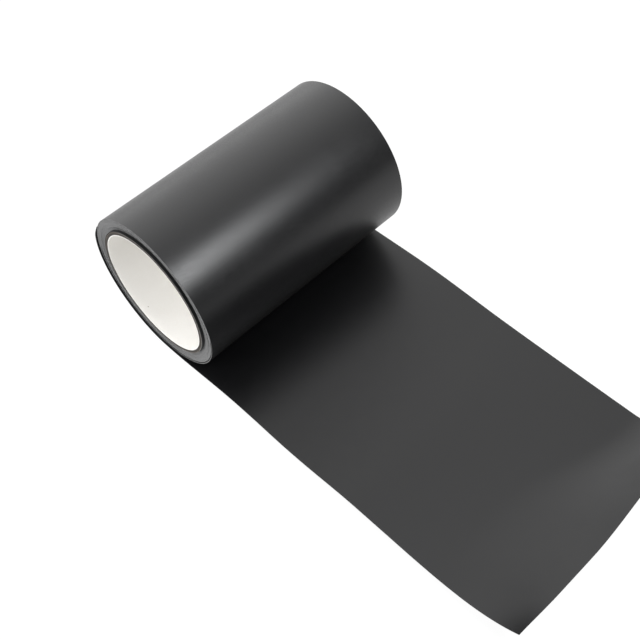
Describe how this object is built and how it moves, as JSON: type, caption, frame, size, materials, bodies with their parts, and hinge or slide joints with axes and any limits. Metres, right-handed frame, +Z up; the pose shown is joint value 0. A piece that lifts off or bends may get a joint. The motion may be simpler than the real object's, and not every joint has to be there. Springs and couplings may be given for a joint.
{
  "type": "roll of sign vinyl",
  "caption": "Satin black vinyl film on its release liner, wound on a white-lined paper core, with the free end run out flat and curling up at its cut edge.",
  "frame": {"origin": "middle of the core's bore, on the roll's axis, halfway along the core", "axes": "+Y along the roll's axis away from the near end face, +X the way the free end runs out on the table, +Z up"},
  "size_m": [0.3093, 0.1524, 0.0986],
  "materials": {
    "core_facing": "matte",
    "core_board": "matte",
    "core_outer": "matte",
    "starter_tape": "gloss",
    "film_face": "satin",
    "liner": "matte",
    "wound_web": "satin"
  },
  "bodies": {
    "free_end": {"laid_film": "film_face", "laid_liner": "liner"},
    "nip": {"loose_film": "film_face", "loose_liner": "liner"},
    "roll": {"core_facing_ply": "core_facing", "core_body_ply_1": "core_board", "core_body_ply_2": "core_board", "core_body_ply_3": "core_board", "core_outer_ply": "core_outer", "starter_tape": "starter_tape", "first_wrap": "wound_web", "wound_web": "wound_web"}
  },
  "joints": [
    {"name": "roll_travel", "type": "slide", "parent": "free_end", "child": "nip", "axis": [1, 0, 0], "range_m": [0, 0.12]},
    {"name": "roll_turn", "type": "hinge", "parent": "nip", "child": "roll", "pos_m": [0, 0, 0], "axis": [0, 1, 0], "range_deg": [0, 141]}
  ],
  "couplings": [
    {"joint": "roll_turn", "follows": "roll_travel", "rad_per_m": 20.408}
  ]
}
